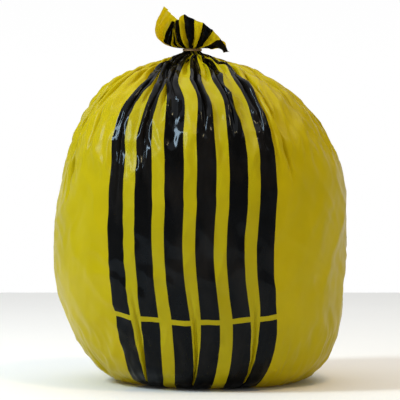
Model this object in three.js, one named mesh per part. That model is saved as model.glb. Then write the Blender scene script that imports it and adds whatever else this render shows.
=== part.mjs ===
// A clinical waste sack of printed polythene film, filled, gathered at the top and tied.
// Millimetres, +Z up. The printed side faces -Y. The origin is the middle of the flattened base,
// on the floor.
import * as THREE from 'three';

// The sack as it is bought, laid flat
const flatWidth = 711;

// Filled body. Left is -X.
const baseWidth = 240;
const bellyWidth = 456;
const bellyHeight = 220;
const crownHeight = 510;
const haunchPower = 2.2;
const shoulderPower = 2.25;

// It leans: how far the middle of a level section stands to the side, and at which heights
const haunchHeight = 170;
const shoulderHeight = 330;
const haunchOffset = -16;
const shoulderOffset = -11.5;
const neckOffset = -28;

// Folds that run up to the neck
const foldCount = 20;
const foldDepth = 7;
const foldStartHeight = 330;

// Gathered neck and the band round it
const neckWidth = 26;
const neckRise = 5;
const mantleWidth = 84;
const bandStrand = 1.8;
const bandTurns = 2;
const bandClearance = 0.3;

// Flared film above the band: how far out and how high its free edge lies, every 30 degrees
// from +X round by +Y, counted from the neck's axis and the top of the band, and the knee that it
// bends over
const rimReach = [56, 48, 40, 34, 36, 41, 42, 34, 28, 32, 40, 50];
const rimRise = [-9, 12, 24, 34, 42, 56, 64, 42, 53, 46, 37, 16];
const kneeReach = [36, 34, 32, 30, 40, 62, 84, 40, 26, 30, 32, 36];
const kneeRise = [4, 1, 1, 1, 1, 3, 4, 2, 1, 1, 1, 2];
const ruffleFoldCount = 10;
const ruffleFoldDepth = 3.5;
const bowlDepth = 30;

// Steps of the mesh
const sides = 80;
const haunchSteps = 9;
const shoulderSteps = 16;
const neckSteps = 4;
const ruffleSteps = 6;
const bandSides = 40;
const strandSides = 8;

// A film tube keeps its girth, so the depth of the oval belly follows from its width.
const girth = 2 * flatWidth;
const bellyDepth = (2 * girth) / Math.PI - bellyWidth;
const depthShare = bellyDepth / bellyWidth;

const seatRadius = neckWidth / 2;
const bandHeight = bandStrand * bandTurns;
const seatHeight = bandHeight + 2 * bandClearance;
const seatBottom = crownHeight + neckRise;
const seatTop = seatBottom + seatHeight;

const lerp = THREE.MathUtils.lerp;
const smoothstep = THREE.MathUtils.smoothstep;

// How far the middle of a level section stands to the side of the base's middle
function sectionOffset(height) {
  const low = haunchOffset * smoothstep(height, 0, haunchHeight);
  const middle = (shoulderOffset - haunchOffset) * smoothstep(height, haunchHeight, shoulderHeight);
  const high = (neckOffset - shoulderOffset) * smoothstep(height, shoulderHeight, seatBottom);
  return low + middle + high;
}

// One point of a curve shaped like a quarter of an ellipse, squarer where power is over 2
function quarterCurve(share, power) {
  const angle = (share * Math.PI) / 2;
  return {
    out: Math.cos(angle) ** (2 / power),
    up: Math.sin(angle) ** (2 / power),
  };
}

// Half-width and height of the body's outline, from the edge of the base up to the mantle
function bodyOutline() {
  const points = [];
  for (let i = 0; i < haunchSteps; i++) {
    const curve = quarterCurve(1 - i / haunchSteps, haunchPower);
    points.push(new THREE.Vector2(
      lerp(baseWidth, bellyWidth, curve.out) / 2,
      bellyHeight * (1 - curve.up),
    ));
  }
  const mantleShare = (2 / Math.PI) * Math.acos((mantleWidth / bellyWidth) ** (shoulderPower / 2));
  for (let i = 0; i <= shoulderSteps; i++) {
    const curve = quarterCurve((mantleShare * i) / shoulderSteps, shoulderPower);
    points.push(new THREE.Vector2(
      (bellyWidth / 2) * curve.out,
      lerp(bellyHeight, crownHeight, curve.up),
    ));
  }
  return points;
}

// From the mantle the film turns up into the neck.
function neckOutline(mantle) {
  const turn = new THREE.QuadraticBezierCurve(
    mantle,
    new THREE.Vector2(seatRadius * 1.15, crownHeight),
    new THREE.Vector2(seatRadius, seatBottom),
  );
  const points = turn.getPoints(neckSteps).slice(1);
  points.push(new THREE.Vector2(seatRadius, seatTop));
  return points;
}

// Direction that points out of the outline at one of its points
function outward(outline, index) {
  const before = outline[Math.max(index - 1, 0)];
  const after = outline[Math.min(index + 1, outline.length - 1)];
  return new THREE.Vector2(after.y - before.y, before.x - after.x).normalize();
}

// Grooves between the folds. They deepen up the shoulder and close again in the neck.
function grooveAt(point, bearing) {
  const grown = smoothstep(point.y, foldStartHeight, crownHeight);
  const room = smoothstep(point.x, seatRadius, mantleWidth / 2);
  const wave = 0.5 - 0.5 * Math.cos(foldCount * bearing);
  return foldDepth * grown * room * wave;
}

const bearings = Array.from({ length: sides }, (_, i) => (2 * Math.PI * i) / sides);

// Level oval rings of points, one for each point of the outline
function bodyRings() {
  const body = bodyOutline();
  const outline = body.concat(neckOutline(body.at(-1)));
  return outline.map((point, index) => {
    const out = outward(outline, index);
    const roundness = smoothstep(point.x, seatRadius, bellyWidth / 2);
    return bearings.map((bearing) => {
      const groove = grooveAt(point, bearing);
      const radius = point.x - out.x * groove;
      const x = sectionOffset(point.y) + radius * Math.cos(bearing);
      const y = radius * Math.sin(bearing) * lerp(1, depthShare, roundness);
      return new THREE.Vector3(x, y, Math.max(point.y - out.y * groove, 0));
    });
  });
}

// A closed curve round the neck's axis, from its reach and rise at even steps of bearing
function roundNeck(reaches, rises) {
  const points = reaches.map((reach, i) => {
    const bearing = (2 * Math.PI * i) / reaches.length;
    return new THREE.Vector3(
      sectionOffset(seatTop) + reach * Math.cos(bearing),
      reach * Math.sin(bearing),
      seatTop + rises[i],
    );
  });
  return new THREE.CatmullRomCurve3(points, true);
}

// The film flares out over a knee to its free edge, and a bowl closes it between the edges.
function ruffleRings(neckRing) {
  const rim = roundNeck(rimReach, rimRise);
  const knee = roundNeck(kneeReach, kneeRise);
  const bowl = new THREE.Vector3(sectionOffset(seatTop), 0, seatTop + Math.max(...rimRise) - bowlDepth);
  const petals = bearings.map((bearing, i) => {
    const share = i / sides;
    const wave = ruffleFoldDepth * Math.cos(ruffleFoldCount * bearing);
    const outwards = new THREE.Vector3(Math.cos(bearing), Math.sin(bearing), 0);
    const tip = rim.getPoint(share).addScaledVector(outwards, wave);
    return new THREE.QuadraticBezierCurve3(neckRing[i], knee.getPoint(share), tip);
  });
  const rings = [];
  for (let step = 1; step <= ruffleSteps; step++) {
    rings.push(petals.map((petal) => petal.getPoint(step / ruffleSteps)));
  }
  return { rings, bowl };
}

// Joins rings of equal length into one closed body. Both ends are closed by a fan of triangles.
function skin(rings, bottomCentre, topCentre) {
  const points = rings.flat().concat(bottomCentre, topCentre);
  const bottom = points.length - 2;
  const top = points.length - 1;
  const last = (rings.length - 1) * sides;
  const index = [];
  for (let i = 0; i < sides; i++) {
    const next = (i + 1) % sides;
    index.push(bottom, next, i);
    index.push(top, last + i, last + next);
    for (let ring = 0; ring < last; ring += sides) {
      index.push(ring + i, ring + next, ring + sides + next);
      index.push(ring + i, ring + sides + next, ring + sides + i);
    }
  }
  const geometry = new THREE.BufferGeometry().setFromPoints(points);
  geometry.setIndex(index);
  geometry.computeVertexNormals();
  return geometry;
}

function makeBag() {
  const body = bodyRings();
  const ruffle = ruffleRings(body.at(-1));
  const geometry = skin(
    body.concat(ruffle.rings),
    new THREE.Vector3(0, 0, 0),
    ruffle.bowl,
  );
  const film = new THREE.MeshStandardMaterial({ color: 0xe8cf10, roughness: 0.3, metalness: 0 });
  const bag = new THREE.Mesh(geometry, film);
  bag.name = 'bag';
  return bag;
}

// The band's turns lie on each other in the seat. Its outer side shows each strand's round.
function makeBand() {
  const inner = seatRadius + bandClearance;
  const profile = [new THREE.Vector2(inner, 0)];
  for (let turn = 0; turn < bandTurns; turn++) {
    for (let i = 0; i <= strandSides; i++) {
      const angle = (Math.PI * i) / strandSides;
      if (i === 0 && turn > 0) continue;
      profile.push(new THREE.Vector2(
        inner + bandStrand / 2 + (bandStrand / 2) * Math.sin(angle),
        bandStrand * (turn + (1 - Math.cos(angle)) / 2),
      ));
    }
  }
  profile.push(new THREE.Vector2(inner, bandHeight));
  profile.push(profile[0].clone());
  const geometry = new THREE.LatheGeometry(profile, bandSides);
  const rubber = new THREE.MeshStandardMaterial({ color: 0xa8824e, roughness: 0.55, metalness: 0 });
  const band = new THREE.Mesh(geometry, rubber);
  band.name = 'neck_tie';
  band.rotation.x = Math.PI / 2;
  band.position.set(sectionOffset(seatTop), 0, seatBottom + bandClearance);
  return band;
}

const sack = new THREE.Group();
sack.add(makeBag(), makeBand());

export default sack;
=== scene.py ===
import math

import bpy
import numpy as np
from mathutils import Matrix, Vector
from mathutils.bvhtree import BVHTree


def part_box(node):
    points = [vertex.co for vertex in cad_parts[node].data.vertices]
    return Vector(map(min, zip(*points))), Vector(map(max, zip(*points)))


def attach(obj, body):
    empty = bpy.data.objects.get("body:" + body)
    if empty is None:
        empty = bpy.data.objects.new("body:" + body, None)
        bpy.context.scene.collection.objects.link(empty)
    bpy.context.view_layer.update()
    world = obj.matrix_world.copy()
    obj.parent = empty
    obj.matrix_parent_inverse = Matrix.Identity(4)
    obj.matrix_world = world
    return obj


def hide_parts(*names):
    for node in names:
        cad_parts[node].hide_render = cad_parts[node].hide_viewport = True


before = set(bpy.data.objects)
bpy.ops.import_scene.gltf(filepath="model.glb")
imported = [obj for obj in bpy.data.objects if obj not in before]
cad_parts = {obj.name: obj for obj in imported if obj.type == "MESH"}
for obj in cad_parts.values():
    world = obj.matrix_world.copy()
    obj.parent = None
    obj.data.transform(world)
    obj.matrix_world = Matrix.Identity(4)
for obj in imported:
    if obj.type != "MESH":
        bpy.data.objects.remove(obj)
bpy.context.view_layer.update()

# The sack's film, in metres. Film coordinates: u runs round the tube from the middle of the print,
# positive towards +X, and v runs up from the middle of the base.
FILM_ROUND = 1.422
FREE_FILM = 0.085
STRIPES = 6
STRIPE_WIDTH = 0.030
STRIPE_PITCH = 0.050
BAND_HALF = (STRIPE_PITCH * (STRIPES - 1) + STRIPE_WIDTH) / 2
PRINT_GAP_HEIGHT = 0.108
PRINT_GAP = 0.0082
LINE_SLOPE = -0.036
LINE_BEND = 0.47
LINE_STEP = 0.0006
LINE_STEP_TURN = 2.1
PRINT_EDGE = 0.0004
# The print's middle, as a share of a turn from +X
PRINT_BEARING = 0.74

# Mesh of the film. Its columns stand closer over the print.
FRONT_HALF = 0.18
FRONT_COLUMNS = 164
SIDE_COLUMNS = 144
COLUMNS = FRONT_COLUMNS + 2 * SIDE_COLUMNS
BASE_ROWS = 10
BODY_ROWS = 150
NECK_ROWS = 3
FREE_ROWS = 36
BEARINGS = 360

# Rings of the mould, which is the surface that the film lies on
MOULD_WAVES = 45
BASE_RINGS = 6
BODY_RINGS = 90
FREE_RINGS = 40
# Where the film's first row lies, as a share of the way up the body
FIRST_ROW = 0.02
# The tie's strand and its clearance, as in the part, and how far inside the neck's seat the film is
BAND_STRAND = 0.0018
BAND_CLEARANCE = 0.0003
FILM_INSET = 0.0003
# How far the crown lies under the tie, and its last level ring under that. Then how far the throat
# lies under the tie, and how many times as wide as the neck it is.
CROWN_DROP = 0.0055
CROWN_STEP = 0.0004
THROAT_DROP = 0.003
THROAT_WIDTH = 1.2

# How far the film sags below the solid round the neck, and the distances from the neck's axis over
# which this comes and goes
CROWN_SAG = 0.0042
SAG_FROM = (0.02, 0.06)
SAG_TO = (0.09, 0.17)

# Folds. A cell is the film from one ridge to the next, with one fold in it. A fold is at most this
# share of its ring's radius deep, and half of its mouth is at most this wide and this share of the
# cell.
FOLD_ROOM = 0.72
BODY_OPENING = 0.0034
OPENING_SHARE = 0.24
# How far the film beside a fold stands out, as a share of its width and at most, and the share of
# hidden film from which it does so in full
BILLOW = 0.07
BILLOW_MOST = 0.0014
BILLOW_FULL = 0.2
# How far folds wander to the side, and how long that takes round the film and up it
FOLD_DRIFT = 0.0008
DRIFT_SIZES = (0.3, 0.15)
# The share of the plain film's folds that is left under the belly
LOW_FOLDS = 0.12
# A fold grows to its full depth while its hidden film goes from the first to the second length.
LEAST_FOLD = (0.0004, 0.006)
# Widths of the cells. For plain film, the ranges of the slack at which a fold starts, and of where
# it lies in its cell.
BAND_CELL = STRIPE_PITCH / 2
PLAIN_CELL = (0.018, 0.040)
PLAIN_FOLDS_UP = (0.0, 0.45)
PLAIN_FOLDS_DOWN = (0.0, 0.35)
PLAIN_FOLD_AT = (0.3, 0.7)
FREE_FOLD_AT = (0.35, 0.65)
# Folds are stronger where the film is this far to the left of the print's middle.
STRONG_FROM, STRONG_TO = 0.25, 0.42
STRONG, WEAK = 1.5, 0.7
# A fold grows while the slack goes from this much under its rank to this much over it.
FOLD_GROWS = (-0.08, 0.25)
LEAST_WEIGHT = 0.03
# A cell hides at most this share of its film. The spare film is shared out in this many rounds.
MOST_HIDDEN = 0.96
SHARING_ROUNDS = 8
# Folds that rise from the base begin at these shares of its radius.
BASE_FOLDS = (0.6, 1.1)
# Where the belly lies on the way up the film: folds below it rise from the base, and those above
# it run up to the neck
BELLY_SHARES = (0.38, 0.62)
# For each cell over the print, from the left: the slack at which it starts to fold, going up to
# the neck and going down to the base
BAND_FOLDS_UP = [0.00, 0.25, 0.02, 0.20, 0.30, 0.50, 0.10, 0.40, 0.10, 0.45, 0.06]
BAND_FOLDS_DOWN = [0.9, 0.05, 0.9, 0.9, 0.9, 0.05, 0.9, 0.9, 0.9, 0.05, 0.9]
# How many times as much film each of these cells hides close under the neck
BAND_FOLDS_NECK = [0.7, 2.4, 0.7, 5, 0.9, 0.8, 1.1, 0.6, 1.1, 0.7, 1.1]
# The slack over which film counts as close under the neck
NECK_SLACK = (0.25, 0.75)
# The print's half-width and middle, in degrees round the body, at shares of the way up the film
BAND_HALF_ANGLE = [
    (0.164, 40.5), (0.24, 35.9), (0.33, 34.5), (0.49, 33.5), (0.656, 36),
    (0.711, 37.6), (0.77, 38.4), (0.8825, 43), (0.955, 62), (1.0, 85),
]
BAND_MIDDLE = [
    (0.164, -12.3), (0.24, -6.8), (0.33, -3.5), (0.49, -4.4), (0.656, -4.6),
    (0.711, -4.4), (0.77, -2.8), (0.8825, 0.5), (1.0, 0),
]

# Free edge of the film above the band, every 30 degrees from +X round by +Y: how far out and how
# high it lies, from the neck's axis and the top of the band, the knee that it rises over, and how
# deep its folds may be
RIM_REACH = [0.056, 0.048, 0.040, 0.034, 0.036, 0.041, 0.042, 0.034, 0.028, 0.032, 0.040, 0.050]
RIM_RISE = [-0.009, 0.012, 0.024, 0.034, 0.042, 0.056, 0.064, 0.042, 0.053, 0.046, 0.037, 0.016]
KNEE_REACH = [0.036, 0.034, 0.032, 0.030, 0.040, 0.062, 0.084, 0.040, 0.026, 0.030, 0.032, 0.036]
KNEE_RISE = [0.004, 0.001, 0.001, 0.001, 0.001, 0.003, 0.004, 0.002, 0.001, 0.001, 0.001, 0.002]
FREE_ROOM = [0.010, 0.018, 0.024, 0.026, 0.026, 0.026, 0.016, 0.014, 0.014, 0.012, 0.010, 0.008]

# Folds of the free film. The leaf is the smooth part beside the print, on its left.
LEAF_FILM = 0.10
LEAF_CELLS = 4
BACK_CELL = (0.034, 0.054)
FREE_OPENING = 0.30
# Bearings, in degrees, of the print's left edge, of the middles of its stripes and gaps, and of its
# right edge, at shares of the way up the free film. Then that of the leaf's far edge.
FAN_BEARINGS = [
    (0, [176, 183, 191, 199, 209, 221, 236, 258, 283, 303, 322, 342, 358]),
    (0.25, [178, 187, 196, 203, 211, 219, 233, 257, 283, 304, 322, 342, 359]),
    (0.5, [196, 203, 208, 211, 213.5, 218, 230, 256, 284, 305, 322, 342, 361]),
    (1, [207, 210, 212, 213, 214.5, 217, 228, 255, 286, 306, 322, 342, 364]),
]
LEAF_BEARINGS = [(0, 150), (1, 130)]
# How many degrees the plain film beside the print's right edge takes at the free edge
RIGHT_PLAIN = 34

# Wrinkles: height, size round the film, size up the film, and how far they lean
SHOULDER_WRINKLES = [
    (0.0022, 0.036, 0.14, 0.1), (0.0017, 0.020, 0.07, -0.2), (0.0005, 0.013, 0.05, 0.3),
]
BELLY_WRINKLES = [
    (0.0014, 0.09, 0.12, 0.6), (0.0011, 0.05, 0.06, -0.7), (0.0004, 0.025, 0.05, 0.4),
]
FREE_WRINKLES = [(0.0019, 0.022, 0.05, 0.4), (0.0009, 0.013, 0.03, -0.6)]
# Step of the grid of random values, how sharply waves shorter than a wrinkle's size are cut, and
# the size of a wave at which it leaves the film where it is
NOISE_STEP = 0.003
WAVE_CUT = 1.2
WRINKLE_MIDDLE = 0.8
# Slack over which shoulder wrinkles come, over which they fade near the neck and by how much, and
# over which the belly's fade
WRINKLES_COME = (0.02, 0.12)
WRINKLES_FADE = (0.4, 0.8)
FADE_BY = 0.6
BELLY_FADE = (0.5, 0.9)
# The share of the shoulder's wrinkles that is left under the belly
LOW_WRINKLES = 0.45
# Wrinkles come while v goes from the base's radius, at its edge, to this many times that radius.
LIFTED = 1.3

# Colours, each as a darker and a lighter tone
YELLOW = ((0.49, 0.395, 0.0005, 1), (0.55, 0.442, 0.001, 1))
YELLOW_IN_PRINT = ((0.43, 0.365, 0.002, 1), (0.485, 0.41, 0.003, 1))
# The black ink's lighter tone is painted sheen: it stands in for light that the crinkled ink
# reflects.
BLACK = ((0.0028, 0.0025, 0.0022, 1), (0.012, 0.010, 0.0085, 1))
RUBBER = ((0.30, 0.17, 0.06, 1), (0.42, 0.26, 0.10, 1))
FLOOR = ((0.90, 0.90, 0.90, 1), (0.93, 0.93, 0.93, 1))
LIT_THROUGH = (0.95, 0.75, 0.01, 1)

# Other looks of the film. A pattern has its scale along X, Y and Z, and its detail.
TRANSLUCENCY = 0.15
FREE_TRANSLUCENCY = 0.65
GLOSS = 0.13
GLOSS_TINT = (0.68, 0.83, 1.0, 1)
YELLOW_ROUGHNESS = 0.32
BLACK_ROUGHNESS = 0.11
CLOUDS = ((16, 16, 10), 4.0)
CLOUDS_FROM, CLOUDS_TO = 0.35, 0.65
# Patches of painted sheen on the black ink, where it takes its lighter tone
PAINTED_SHEEN = ((22, 22, 9), 4.0)
PAINTED_SHEEN_FROM, PAINTED_SHEEN_TO = 0.45, 0.7
LONG_CREASES = ((48, 48, 7), 3.0)
SHORT_CREASES = ((38, 38, 24), 3.0)
SHORT_CREASE_SHARE = 0.3
CREASED_FROM, CREASED_TO = 0.40, 0.60
CREASE_HEIGHT = 0.0012
CREASE_STRENGTH = 0.5

# Rubber and floor
RUBBER_GRAIN = ((400, 400, 400), 4.0)
RUBBER_ROUGHNESS = 0.55
RUBBER_HEIGHT = 0.0002
RUBBER_STRENGTH = 0.4
FLOOR_PATTERN = ((3, 3, 3), 3.0)
FLOOR_ROUGHNESS = 0.8
FLOOR_HALF = 1.9

# Light of the sky: from where to where along +Y and along +Z, and its power at either end
BACKDROP = (0.8, 0.985, 0.22, 0.74)
HORIZON = (0.0, 0.5, 0.26, 0.0)
# Lights: name, place, target, size, power and colour
LIGHTS = [
    ("ceiling", (0, 0.8, 3.0), (0, 0.8, 0), (4.5, 4.5), 71, (1, 1, 1)),
    ("window", (-1.9, -0.8, 2.0), (0, 0, 0.3), (0.42, 0.9), 48, (0.80, 0.94, 1.0)),
    ("lamp", (0.7, -1.0, 2.5), (0, 0, 0.35), (0.45, 0.3), 17, (1.0, 0.70, 0.32)),
]

# Camera. The picture is square, and the belly's width in the photo gives the scale.
PICTURE_PIXELS = 400
BELLY_PIXELS = 292
BELLY_WIDTH = 0.456
CAMERA_DISTANCE = 5.0
CAMERA_ELEVATION = math.radians(2.5)
CAMERA_AIM = (-0.016, 0, 0.283)
SENSOR = 36

SEED = 11

band_low, band_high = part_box("neck_tie")
neck_x = (band_low.x + band_high.x) / 2
neck_bottom = band_low.z - BAND_CLEARANCE
neck_top = band_high.z + BAND_CLEARANCE


def tree_of(points, faces):
    return BVHTree.FromPolygons([Vector(p) for p in points], faces)


bag_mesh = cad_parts["bag"].data
bag_points = np.array([v.co for v in bag_mesh.vertices])
bag_tree = tree_of(bag_points, [tuple(p.vertices) for p in bag_mesh.polygons])
base_points = bag_points[bag_points[:, 2] < 1e-5]
base_radius = float(np.linalg.norm(base_points[:, :2], axis=1).max())
band_inside = float((band_high.x - band_low.x) / 2) - BAND_STRAND
neck_radius = band_inside - BAND_CLEARANCE - FILM_INSET

angles = np.arange(BEARINGS) * 2 * math.pi / BEARINGS
directions = np.stack([np.cos(angles), np.sin(angles)], axis=1)


def smoothstep(x, low, high):
    t = np.clip((x - low) / (high - low), 0, 1)
    return t * t * (3 - 2 * t)


def smooth_ring(values, harmonics):
    """A periodic row of values with only its slowest waves left."""
    waves = np.fft.rfft(values)
    waves[harmonics + 1:] = 0
    return np.fft.irfft(waves, len(values))


def flat_ring(middle, radii, height):
    """A level ring with a radius for each bearing."""
    ring = np.empty((BEARINGS, 3))
    ring[:, 0] = middle + radii * directions[:, 0]
    ring[:, 1] = radii * directions[:, 1]
    ring[:, 2] = height
    return ring


def round_ring(middle, radius, height):
    return flat_ring(middle, np.full(BEARINGS, radius), height)


def level_ring(height):
    """The solid's outline at a height, as points round it."""
    reach = []
    for sign in (1, -1):
        hit = bag_tree.ray_cast(Vector((neck_x, 0, height)), Vector((sign, 0, 0)))[0]
        reach.append(hit.x)
    middle = sum(reach) / 2
    start = Vector((middle, 0, height))
    hits = [bag_tree.ray_cast(start, Vector((c, s, 0))) for c, s in directions.tolist()]
    radii = np.array([hit[3] for hit in hits])
    return flat_ring(middle, smooth_ring(radii, MOULD_WAVES), height)


def body_mould():
    """Rings from the middle of the base up to the underside of the band."""
    rings = []
    for share in np.linspace(0, 1, BASE_RINGS):
        rings.append(round_ring(0, base_radius * share, 0))
    crown = neck_bottom - CROWN_DROP
    for share in np.linspace(0, 1, BODY_RINGS)[1:]:
        height = crown * (0.5 - 0.5 * math.cos(math.pi * share))
        rings.append(level_ring(min(height, crown - CROWN_STEP)))
    rings.append(round_ring(neck_x, neck_radius * THROAT_WIDTH, neck_bottom - THROAT_DROP))
    rings.append(round_ring(neck_x, neck_radius, neck_bottom))
    rings = np.array(rings)
    reach = np.hypot(rings[..., 0] - neck_x, rings[..., 1])
    near_neck = smoothstep(reach, *SAG_FROM) * (1 - smoothstep(reach, *SAG_TO))
    rings[..., 2] -= CROWN_SAG * near_neck * (rings[..., 2] > neck_bottom / 2)
    return rings


def closed_curve(values):
    """A smooth closed curve through a few values, one for each bearing."""
    values = np.array(values)
    count = len(values)
    place = np.arange(BEARINGS) * count / BEARINGS
    index = np.floor(place).astype(int)
    t = place - index
    a, b, c, d = (values[(index + k) % count] for k in (-1, 0, 1, 2))
    return b + 0.5 * t * (c - a + t * (2 * a - 5 * b + 4 * c - d + t * (3 * (b - c) + d - a)))


def free_mould():
    """Rings of the free film, from the top of the band to its edge."""
    rim = flat_ring(neck_x, closed_curve(RIM_REACH), neck_top + closed_curve(RIM_RISE))
    knee = flat_ring(neck_x, closed_curve(KNEE_REACH), neck_top + closed_curve(KNEE_RISE))
    foot = round_ring(neck_x, neck_radius, neck_top)
    shares = np.linspace(0, 1, FREE_RINGS)
    return np.array([(1 - t) ** 2 * foot + 2 * t * (1 - t) * knee + t * t * rim for t in shares])


def resample(rings, shares):
    """Rings at shares of each bearing's own length along the film. Also the mean length."""
    steps = np.linalg.norm(np.diff(rings, axis=0), axis=2)
    length = np.vstack([np.zeros(BEARINGS), np.cumsum(steps, axis=0)])
    out = np.empty((len(shares), BEARINGS, 3))
    for b in range(BEARINGS):
        share = length[:, b] / length[-1, b]
        for axis in range(3):
            out[:, b, axis] = np.interp(shares, share, rings[:, b, axis])
    return out, float(length[-1].mean())


def film_mould():
    """The mould's rings, one for each row of the film, with their inward normals and each row's v.

    The last two values are the number of rows up to the band and the first row above it.
    """
    body = body_mould()
    base_share = base_radius / resample(body, [0])[1]
    inner = np.linspace(FIRST_ROW, base_share, BASE_ROWS)[:-1]
    shares = np.concatenate([inner, np.linspace(base_share, 1, BODY_ROWS)])
    lower, body_length = resample(body, shares)
    seat = np.linspace(0, 1, NECK_ROWS + 2)[1:-1, None, None]
    seat_height = neck_top - neck_bottom
    collar = lower[-1] + seat * np.array([0, 0, seat_height])
    upper = resample(free_mould(), np.linspace(0, 1, FREE_ROWS))[0]
    rings = np.concatenate([lower, collar, upper])
    free_v = body_length + seat_height + np.linspace(0, 1, FREE_ROWS) * FREE_FILM
    v = np.concatenate([shares * body_length, body_length + seat[:, 0, 0] * seat_height, free_v])
    along = np.gradient(rings, axis=0)
    around = np.roll(rings, -1, axis=1) - np.roll(rings, 1, axis=1)
    normal = np.cross(along, around)
    normal /= np.linalg.norm(normal, axis=2, keepdims=True) + 1e-12
    return rings, normal, v, len(lower), len(lower) + NECK_ROWS


mould, inward, film_v, body_rows, free_start = film_mould()
ROWS = len(mould)
FILM_LENGTH = float(film_v[-1])
body_length = float(film_v[body_rows - 1])


def key_values(x, keys):
    """A value that runs smoothly through (x, value) keys."""
    xs, ys = (np.array(k, float) for k in zip(*keys))
    slopes = np.gradient(ys, xs)
    i = int(np.clip(np.searchsorted(xs, x) - 1, 0, len(xs) - 2))
    h = xs[i + 1] - xs[i]
    t = min(max((x - xs[i]) / h, 0), 1)
    a, b = slopes[i] * h, slopes[i + 1] * h
    return (
        ys[i] * (1 + 2 * t) * (1 - t) ** 2 + a * t * (1 - t) ** 2
        + ys[i + 1] * t * t * (3 - 2 * t) + b * t * t * (t - 1)
    )


def film_columns():
    """u of each column, from the back round by the left, and closer over the print."""
    half = FILM_ROUND / 2
    left = np.linspace(-half, -FRONT_HALF, SIDE_COLUMNS, endpoint=False)
    front = np.linspace(-FRONT_HALF, FRONT_HALF, FRONT_COLUMNS, endpoint=False)
    right = np.linspace(FRONT_HALF, half, SIDE_COLUMNS, endpoint=False)
    return np.concatenate([left, front, right])


film_u = film_columns()
film_step = np.diff(np.append(film_u, film_u[0] + FILM_ROUND))


def plain_edges(rng, start, end, widths):
    """Uneven places from start to end."""
    parts = []
    while sum(parts) < end - start:
        parts.append(rng.uniform(*widths))
    return start + np.cumsum([0, *parts]) * (end - start) / sum(parts)


class Cells:
    """Cells of the film from one ridge to the next, from u = start all the way round."""

    def __init__(self, edges):
        self.edges = edges
        self.widths = np.diff(edges)
        self.middles = (edges[:-1] + edges[1:]) / 2

    def find(self, u):
        """The cell in which each u lies, and how far along it."""
        at = self.edges[0] + (u - self.edges[0]) % FILM_ROUND
        cell = np.clip(np.searchsorted(self.edges, at, side="right") - 1, 0, len(self.widths) - 1)
        return cell, np.clip((at - self.edges[cell]) / self.widths[cell], 0, 1)


def body_cells(rng):
    """The body's cells: those over the print, then the rest."""
    band = (np.arange(len(BAND_FOLDS_UP) + 1) - len(BAND_FOLDS_UP) / 2) * BAND_CELL
    rest = plain_edges(rng, band[-1], band[0] + FILM_ROUND, PLAIN_CELL)
    count = len(band) - 1
    cells = Cells(np.concatenate([band, rest[1:]]))
    total = len(cells.widths)
    cells.groups = [slice(0, count), slice(count, total)]
    away = FILM_ROUND - cells.middles
    cells.up = rng.uniform(*PLAIN_FOLDS_UP, total)
    cells.down = rng.uniform(*PLAIN_FOLDS_DOWN, total)
    cells.strength = np.where((away > STRONG_FROM) & (away < STRONG_TO), STRONG, WEAK)
    cells.up[:count] = BAND_FOLDS_UP
    cells.down[:count] = BAND_FOLDS_DOWN
    cells.strength[:count] = 1
    cells.neck = np.ones(total)
    cells.neck[:count] = BAND_FOLDS_NECK
    cells.fold_at = rng.uniform(*PLAIN_FOLD_AT, total)
    return cells


def free_cells(rng):
    """The free film's cells: over the print, round the back, then in the leaf."""
    fan = (np.arange(2 * STRIPES - 1) - STRIPES + 1) * BAND_CELL
    fan = np.concatenate([[-BAND_HALF], fan, [BAND_HALF]])
    leaf_start = fan[0] - LEAF_FILM + FILM_ROUND
    back = plain_edges(rng, fan[-1], leaf_start, BACK_CELL)
    leaf = plain_edges(rng, leaf_start, fan[0] + FILM_ROUND, (LEAF_FILM / LEAF_CELLS,) * 2)
    cells = Cells(np.concatenate([fan, back[1:], leaf[1:]]))
    total = len(cells.widths)
    cells.back, cells.leaf = len(back), len(leaf)
    cells.fold_at = rng.uniform(*FREE_FOLD_AT, total)
    to_edge = STRIPE_WIDTH / 2 / BAND_CELL
    inner = len(fan) - 3
    cells.fold_at[1:1 + inner] = np.where(np.arange(inner) % 2 == 0, to_edge, 1 - to_edge)
    return cells


class Ring:
    """One ring of the mould, with places along it as lengths from its bearing 0."""

    def __init__(self, row):
        self.points, self.inward = mould[row], inward[row]
        gaps = np.linalg.norm(np.roll(self.points, -1, axis=0) - self.points, axis=1)
        self.around = np.concatenate([[0], np.cumsum(gaps)])
        self.length = self.around[-1]
        self.slack = max(1 - self.length / FILM_ROUND, 0)

    def place(self, bearing):
        turns = np.floor(np.asarray(bearing) / 360)
        index = (bearing - 360 * turns) / 360 * BEARINGS
        return turns * self.length + np.interp(index, np.arange(BEARINGS + 1), self.around)

    def at(self, place):
        """Points and inward directions at places."""
        index = np.interp(place % self.length, self.around, np.arange(BEARINGS + 1))
        before = np.floor(index).astype(int) % BEARINGS
        t = (index - np.floor(index))[:, None]
        after = (before + 1) % BEARINGS
        point = self.points[before] * (1 - t) + self.points[after] * t
        return point, self.inward[before] * (1 - t) + self.inward[after] * t


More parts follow.
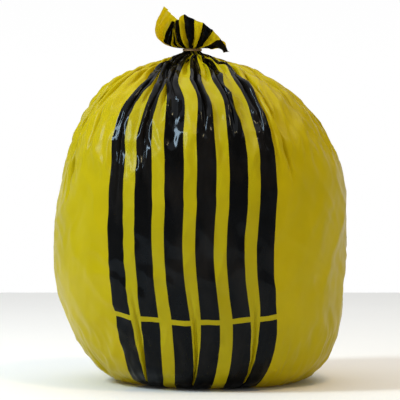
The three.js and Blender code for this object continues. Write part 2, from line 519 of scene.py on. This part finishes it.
def body_layout(ring, cells, v):
    """Where each cell starts on the ring, how long it is there and how much of it is hidden."""
    share = v / body_length
    half = key_values(share, BAND_HALF_ANGLE)
    middle = key_values(share, BAND_MIDDLE) - 90
    start = ring.place(middle - half)
    print_length = ring.place(middle + half) - start
    high = smoothstep(share, *BELLY_SHARES)
    rank = cells.up * high + cells.down * (1 - high)
    grown = smoothstep(ring.slack, rank + FOLD_GROWS[0], rank + FOLD_GROWS[1])
    weight = (grown + LEAST_WEIGHT) * cells.strength
    weight *= 1 + (cells.neck - 1) * smoothstep(ring.slack, *NECK_SLACK)
    hidden, arcs = np.zeros(len(cells.widths)), np.zeros(len(cells.widths))
    for group, length in zip(cells.groups, (print_length, ring.length - print_length)):
        widths = cells.widths[group]
        spare = max(widths.sum() - length, 0)
        want = widths * weight[group]
        for _ in range(SHARING_ROUNDS):
            want = np.minimum(want * spare / max(want.sum(), 1e-9), MOST_HIDDEN * widths)
        hidden[group] = want
        arcs[group] = (widths - want) * length / (widths - want).sum()
    places = start + np.cumsum(arcs) - arcs
    hidden[cells.groups[1]] *= LOW_FOLDS + (1 - LOW_FOLDS) * high
    return places, arcs, hidden


def free_layout(ring, cells, t):
    """The same for the free film, at a share t of the way up it."""
    shares = [key[0] for key in FAN_BEARINGS]
    rows = np.array([key[1] for key in FAN_BEARINGS], float)
    fan = [np.interp(t, shares, column) for column in rows.T]
    leaf_start = key_values(t, LEAF_BEARINGS) + 360
    even = (leaf_start - fan[-1]) / (cells.back - 1)
    back = np.linspace(fan[-1] + even + (RIGHT_PLAIN - even) * t, leaf_start, cells.back - 1)
    leaf = np.linspace(leaf_start, fan[0] + 360, cells.leaf)
    edges = ring.place(np.concatenate([fan, back, leaf[1:]]))
    arcs = np.diff(edges)
    return edges[:-1], arcs, np.maximum(cells.widths - arcs, 0)


def lay_row(row, ring, cells, layout, opening):
    """One row of the film round its ring, with the hidden film folded inwards."""
    places, arcs, hidden = layout
    depth = np.sqrt(hidden ** 2 / 4 + hidden * opening) * smoothstep(hidden, *LEAST_FOLD)
    depth = np.minimum(depth, FOLD_ROOM * ring.length / 2 / math.pi)
    if row < body_rows:
        depth *= smoothstep(film_v[row] / base_radius, *BASE_FOLDS)
    else:
        middles = (places + arcs / 2) % ring.length
        room = np.interp(middles, ring.around, np.append(free_room, free_room[0]))
        depth = np.minimum(depth, room)
    wall = np.sqrt(depth ** 2 + opening ** 2)
    strip = arcs - 2 * opening
    whole = strip + 2 * wall
    drifted = film_u + FOLD_DRIFT * drift[row] * (row < body_rows)
    cell, share = cells.find(drifted)
    place = share * whole[cell]
    side = (strip * cells.fold_at)[cell]
    walls = 2 * wall[cell]
    fold_share = np.clip(place - side, 0, walls) / np.maximum(walls, 1e-9)
    past = np.maximum(place - side - walls, 0)
    deep = depth[cell] * (1 - np.abs(2 * fold_share - 1))
    on_ring = np.minimum(place, side) + 2 * opening[cell] * fold_share + past
    folded = smoothstep(hidden / cells.widths, 0, BILLOW_FULL)
    bulge = np.minimum(BILLOW * strip, BILLOW_MOST) * folded
    bulge_before = (bulge + np.roll(bulge, 1))[cell] / 2
    bulge_after = (bulge + np.roll(bulge, -1))[cell] / 2
    before = np.clip(1 - place / np.maximum(side, 1e-9), 0, 1)
    beyond = np.clip(past / np.maximum(strip[cell] - side, 1e-9), 0, 1)
    deep -= bulge_before * (1 - (1 - before) ** 2) + bulge_after * (1 - (1 - beyond) ** 2)
    point, normal = ring.at(places[cell] + on_ring)
    return point + normal * deep[:, None], normal


def wave_field(rng, size_u, size_v, lean):
    """A random smooth field over the film, periodic round it, with values of about one."""
    rows = int(FILM_LENGTH / NOISE_STEP) + 1
    columns = int(FILM_ROUND / NOISE_STEP)
    noise = np.fft.fft2(rng.standard_normal((rows, columns)))
    fv = np.fft.fftfreq(rows, NOISE_STEP)[:, None]
    fu = np.fft.fftfreq(columns, NOISE_STEP)[None, :]
    across = fu * size_u
    along = (fv + lean * fu) * size_v
    noise *= np.exp(-WAVE_CUT * (across ** 2 + along ** 2))
    field = np.fft.ifft2(noise).real
    field /= field.std()
    at_v = np.clip(film_v / NOISE_STEP, 0, rows - 1.001)
    at_u = ((film_u + FILM_ROUND / 2) / NOISE_STEP) % columns
    i, j = at_v.astype(int)[:, None], at_u.astype(int)[None, :]
    a, b = at_v[:, None] - i, at_u[None, :] - j
    j2 = (j + 1) % columns
    i, j = i % rows, j % columns
    return (
        field[i, j] * (1 - a) * (1 - b) + field[i + 1, j] * a * (1 - b)
        + field[i, j2] * (1 - a) * b + field[i + 1, j2] * a * b
    )


def wrinkle_height(rng):
    """How far the film stands out or in, in metres, with sharp creases between smooth facets."""
    slack = np.array([Ring(row).slack if row < body_rows else 0 for row in range(ROWS)])
    high = smoothstep(film_v / body_length, *BELLY_SHARES)
    gathered = smoothstep(slack, *WRINKLES_COME)
    gathered *= 1 - FADE_BY * smoothstep(slack, *WRINKLES_FADE)
    lifted = smoothstep(film_v, base_radius, base_radius * LIFTED)
    shoulder = gathered * (high + LOW_WRINKLES * (1 - high) * lifted)
    body = (np.arange(ROWS) < body_rows) * lifted * (1 - smoothstep(slack, *BELLY_FADE))
    free = smoothstep(film_v, film_v[free_start], film_v[free_start] + FREE_FILM / 2)
    sorts = (SHOULDER_WRINKLES, shoulder), (BELLY_WRINKLES, body), (FREE_WRINKLES, free)
    height = np.zeros((ROWS, COLUMNS))
    for wrinkles, where in sorts:
        for size, wide, long, lean in wrinkles:
            crease = WRINKLE_MIDDLE - np.abs(wave_field(rng, wide, long, lean))
            height += size * crease * where[:, None]
    return height


def film_surface():
    """The film's points, row by row, in folds and with wrinkles."""
    rng = np.random.default_rng(SEED)
    body, free = body_cells(rng), free_cells(rng)
    points = np.empty((ROWS, COLUMNS, 3))
    normals = np.empty((ROWS, COLUMNS, 3))
    for row in [*range(body_rows), *range(free_start, ROWS)]:
        ring = Ring(row)
        if row < body_rows:
            layout = body_layout(ring, body, film_v[row])
            opening = np.minimum(BODY_OPENING, OPENING_SHARE * layout[1])
            points[row], normals[row] = lay_row(row, ring, body, layout, opening)
        else:
            t = (row - free_start) / (ROWS - 1 - free_start)
            layout = free_layout(ring, free, t)
            opening = FREE_OPENING * layout[1]
            points[row], normals[row] = lay_row(row, ring, free, layout, opening)
    for row in range(body_rows, free_start):
        t = (row - body_rows + 1) / (NECK_ROWS + 1)
        points[row] = points[body_rows - 1] * (1 - t) + points[free_start] * t
        normals[row] = normals[body_rows - 1]
    points -= normals * wrinkle_height(rng)[..., None]
    points[..., 2] = np.maximum(points[..., 2], 0)
    return points


free_room = closed_curve(FREE_ROOM)
drift = wave_field(np.random.default_rng(SEED + 1), *DRIFT_SIZES, 0)
film_points = film_surface()


def film_mesh(points):
    """A mesh of the film, with its film coordinates in metres as a UV map."""
    corners = points.reshape(-1, 3)
    centre = len(corners)
    i = np.arange(ROWS - 1)[:, None] * COLUMNS
    j = np.arange(COLUMNS)[None, :]
    after = (j + 1) % COLUMNS
    quads = [i + j, i + after, i + COLUMNS + after, i + COLUMNS + j]
    quads = np.stack(quads, axis=2).reshape(-1, 4)
    fan = [(centre, int((k + 1) % COLUMNS), int(k)) for k in range(COLUMNS)]
    mesh = bpy.data.meshes.new("film")
    mesh.from_pydata([*corners.tolist(), [0.0, 0.0, 0.0]], [], [*quads.tolist(), *fan])
    shape = (ROWS - 1, COLUMNS)
    left = np.broadcast_to(film_u, shape).reshape(-1)
    right = np.broadcast_to(film_u + film_step, shape).reshape(-1)
    low = np.broadcast_to(film_v[:-1, None], shape).reshape(-1)
    high = np.broadcast_to(film_v[1:, None], shape).reshape(-1)
    corners_uv = np.stack([left, low, right, low, right, high, left, high], axis=1)
    edge_v = np.full(COLUMNS, film_v[0])
    zero = np.zeros(COLUMNS)
    fan_uv = [film_u + film_step / 2, zero, film_u + film_step, edge_v, film_u, edge_v]
    fan_uv = np.stack(fan_uv, axis=1)
    uv = mesh.uv_layers.new(name="film")
    uv.data.foreach_set("uv", np.concatenate([corners_uv.ravel(), fan_uv.ravel()]))
    mesh.polygons.foreach_set("use_smooth", [True] * len(mesh.polygons))
    mesh.update()
    return mesh


film = bpy.data.objects.new("film_sack", film_mesh(film_points))
bpy.context.scene.collection.objects.link(film)


class Nodes:
    """Short ways to add nodes to a material."""

    def __init__(self, name):
        self.material = bpy.data.materials.new(name)
        self.material.use_nodes = True
        self.tree = self.material.node_tree
        self.shader = self.tree.nodes["Principled BSDF"]

    def add(self, kind, inputs=None, **settings):
        node = self.tree.nodes.new(kind)
        for key, value in settings.items():
            setattr(node, key, value)
        for key, value in (inputs or {}).items():
            self.put(node.inputs[key], value)
        return node

    def put(self, socket, value):
        if isinstance(value, bpy.types.NodeSocket):
            self.tree.links.new(value, socket)
        else:
            socket.default_value = value

    def math(self, operation, *values):
        node = self.add("ShaderNodeMath", operation=operation)
        for socket, value in zip(node.inputs, values):
            self.put(socket, value)
        return node.outputs[0]

    def mix(self, factor, first, second):
        node = self.add("ShaderNodeMix", data_type="RGBA")
        self.put(node.inputs[0], factor)
        self.put(node.inputs[6], first)
        self.put(node.inputs[7], second)
        return node.outputs[2]

    def ramp(self, value, low=0, high=1, start=0, end=1):
        """Takes low to high onto start to end."""
        inputs = {"Value": value, "From Min": low, "From Max": high, "To Min": start, "To Max": end}
        return self.add("ShaderNodeMapRange", inputs).outputs[0]

    def noise(self, place, scale, detail):
        stretched = self.add("ShaderNodeMapping", {"Vector": place, "Scale": scale}).outputs[0]
        inputs = {"Vector": stretched, "Scale": 1.0, "Detail": detail}
        return self.add("ShaderNodeTexNoise", inputs).outputs[0]

    def creases(self, place, scale, detail):
        """Height with sharp creases between smooth parts."""
        return self.math("ABSOLUTE", self.math("SUBTRACT", self.noise(place, scale, detail), 0.5))

    def bump(self, height, distance, strength):
        inputs = {"Height": height, "Distance": distance, "Strength": strength}
        self.put(self.shader.inputs["Normal"], self.add("ShaderNodeBump", inputs).outputs[0])


def gap_height():
    """v of the film's point at the front that lies at the height of the unprinted line."""
    front = mould[BASE_ROWS:body_rows, int(BEARINGS * PRINT_BEARING), 2]
    return float(np.interp(PRINT_GAP_HEIGHT, front, film_v[BASE_ROWS:body_rows]))


def tube_place(n, u, v):
    """The film's point on a round tube, so that patterns meet at the back."""
    turn = n.math("MULTIPLY", u, 2 * math.pi / FILM_ROUND)
    radius = FILM_ROUND / 2 / math.pi
    return n.add("ShaderNodeCombineXYZ", {
        "X": n.math("MULTIPLY", n.math("SINE", turn), radius),
        "Y": n.math("MULTIPLY", n.math("COSINE", turn), radius),
        "Z": v,
    }).outputs[0]


def print_masks(n, u, v):
    """Where the printed band lies, and where there is ink in it."""
    place = n.math("DIVIDE", n.math("ADD", u, BAND_HALF), STRIPE_PITCH)
    across = n.math("MULTIPLY", n.math("FRACT", place), STRIPE_PITCH)
    inside = n.ramp(across, STRIPE_WIDTH + PRINT_EDGE, STRIPE_WIDTH - PRINT_EDGE)
    band = n.math("LESS_THAN", n.math("ABSOLUTE", u), BAND_HALF)
    stripe_turn = n.math("MULTIPLY", n.math("FLOOR", place), LINE_STEP_TURN)
    steps = n.math("MULTIPLY", n.math("SINE", stripe_turn), LINE_STEP)
    bend = n.math("MULTIPLY", u, n.math("MULTIPLY_ADD", u, LINE_BEND, LINE_SLOPE))
    line = n.math("ADD", n.math("ADD", steps, bend), gap_height())
    from_line = n.math("ABSOLUTE", n.math("SUBTRACT", v, line))
    printed = n.math("GREATER_THAN", from_line, PRINT_GAP / 2)
    return band, n.math("MULTIPLY", n.math("MULTIPLY", inside, band), printed)


def film_material():
    n = Nodes("printed_film")
    uv = n.add("ShaderNodeUVMap", uv_map="film").outputs[0]
    u, v, _ = n.add("ShaderNodeSeparateXYZ", {"Vector": uv}).outputs
    tube = tube_place(n, u, v)
    band, ink = print_masks(n, u, v)
    cloud = n.ramp(n.noise(tube, *CLOUDS), CLOUDS_FROM, CLOUDS_TO)
    yellow = n.mix(band, n.mix(cloud, *YELLOW), n.mix(cloud, *YELLOW_IN_PRINT))
    # The black ink, lighter in noise patches of painted sheen
    black = n.mix(n.ramp(n.noise(tube, *PAINTED_SHEEN), PAINTED_SHEEN_FROM, PAINTED_SHEEN_TO), *BLACK)
    n.put(n.shader.inputs["Base Color"], n.mix(ink, yellow, black))
    rough = n.ramp(ink, start=YELLOW_ROUGHNESS, end=BLACK_ROUGHNESS)
    n.put(n.shader.inputs["Roughness"], rough)
    creased = n.ramp(v, CREASED_FROM, CREASED_TO)
    long_crease = n.math("MULTIPLY", n.creases(tube, *LONG_CREASES), creased)
    short_crease = n.math("MULTIPLY", n.creases(tube, *SHORT_CREASES), SHORT_CREASE_SHARE)
    n.bump(n.math("ADD", long_crease, short_crease), CREASE_HEIGHT, CREASE_STRENGTH)
    n.shader.inputs["Specular IOR Level"].default_value = GLOSS
    n.shader.inputs["Specular Tint"].default_value = GLOSS_TINT
    through = n.add("ShaderNodeBsdfTranslucent", {"Color": n.mix(ink, LIT_THROUGH, black)})
    above = body_length + FREE_FILM / 4
    share = n.ramp(v, body_length, above, TRANSLUCENCY, FREE_TRANSLUCENCY)
    part = n.add("ShaderNodeMixShader", {"Fac": share})
    n.put(part.inputs[1], n.shader.outputs[0])
    n.put(part.inputs[2], through.outputs[0])
    n.put(n.tree.nodes["Material Output"].inputs[0], part.outputs[0])
    return n.material


def band_material():
    n = Nodes("rubber")
    at = n.add("ShaderNodeTexCoord").outputs["Object"]
    grain = n.noise(at, *RUBBER_GRAIN)
    n.put(n.shader.inputs["Base Color"], n.mix(grain, *RUBBER))
    n.shader.inputs["Roughness"].default_value = RUBBER_ROUGHNESS
    n.bump(grain, RUBBER_HEIGHT, RUBBER_STRENGTH)
    return n.material


film.data.materials.append(film_material())
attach(film, "root")
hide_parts("bag")
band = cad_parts["neck_tie"]
band.data.materials.clear()
band.data.materials.append(band_material())


def area_light(name, place, target, size, power, colour):
    data = bpy.data.lights.new(name, "AREA")
    data.shape = "RECTANGLE"
    data.size, data.size_y = size
    data.energy = power
    data.color = colour
    light = bpy.data.objects.new(name, data)
    light.location = place
    light.rotation_euler = (Vector(target) - Vector(place)).to_track_quat("-Z", "Y").to_euler()
    bpy.context.scene.collection.objects.link(light)


def floor():
    n = Nodes("floor")
    at = n.add("ShaderNodeTexCoord").outputs["Object"]
    n.put(n.shader.inputs["Base Color"], n.mix(n.noise(at, *FLOOR_PATTERN), *FLOOR))
    n.shader.inputs["Roughness"].default_value = FLOOR_ROUGHNESS
    corners = [(x * FLOOR_HALF, y * FLOOR_HALF, 0) for x, y in ((-1, -1), (1, -1), (1, 1), (-1, 1))]
    mesh = bpy.data.meshes.new("floor")
    mesh.from_pydata(corners, [], [(0, 1, 2, 3)])
    mesh.materials.append(n.material)
    plane = bpy.data.objects.new("floor", mesh)
    bpy.context.scene.collection.objects.link(plane)


def sky():
    """White light that is stronger behind the sack and near the horizon."""
    world = bpy.data.worlds.new("studio")
    world.use_nodes = True
    nodes, links = world.node_tree.nodes, world.node_tree.links
    way = nodes.new("ShaderNodeSeparateXYZ")
    links.new(nodes.new("ShaderNodeTexCoord").outputs["Generated"], way.inputs[0])
    power = nodes.new("ShaderNodeMath")
    for place, (axis, values) in enumerate(((1, BACKDROP), (2, HORIZON))):
        part = nodes.new("ShaderNodeMapRange")
        links.new(way.outputs[axis], part.inputs["Value"])
        for name, value in zip(("From Min", "From Max", "To Min", "To Max"), values):
            part.inputs[name].default_value = value
        links.new(part.outputs[0], power.inputs[place])
    links.new(power.outputs[0], nodes["Background"].inputs[1])
    nodes["Background"].inputs[0].default_value = (1, 1, 1, 1)
    bpy.context.scene.world = world


def studio():
    floor()
    sky()
    bpy.context.scene.view_settings.view_transform = "Standard"
    for light in LIGHTS:
        area_light(*light)


def camera():
    width = PICTURE_PIXELS * BELLY_WIDTH / BELLY_PIXELS
    data = bpy.data.cameras.new("camera")
    data.sensor_width = SENSOR
    data.sensor_fit = "HORIZONTAL"
    data.lens = SENSOR * CAMERA_DISTANCE / width
    eye = bpy.data.objects.new("camera", data)
    aim = Vector(CAMERA_AIM)
    back = Vector((0, -math.cos(CAMERA_ELEVATION), math.sin(CAMERA_ELEVATION)))
    eye.location = aim + CAMERA_DISTANCE * back
    eye.rotation_euler = (aim - eye.location).to_track_quat("-Z", "Y").to_euler()
    bpy.context.scene.collection.objects.link(eye)
    bpy.context.scene.camera = eye


studio()
camera()
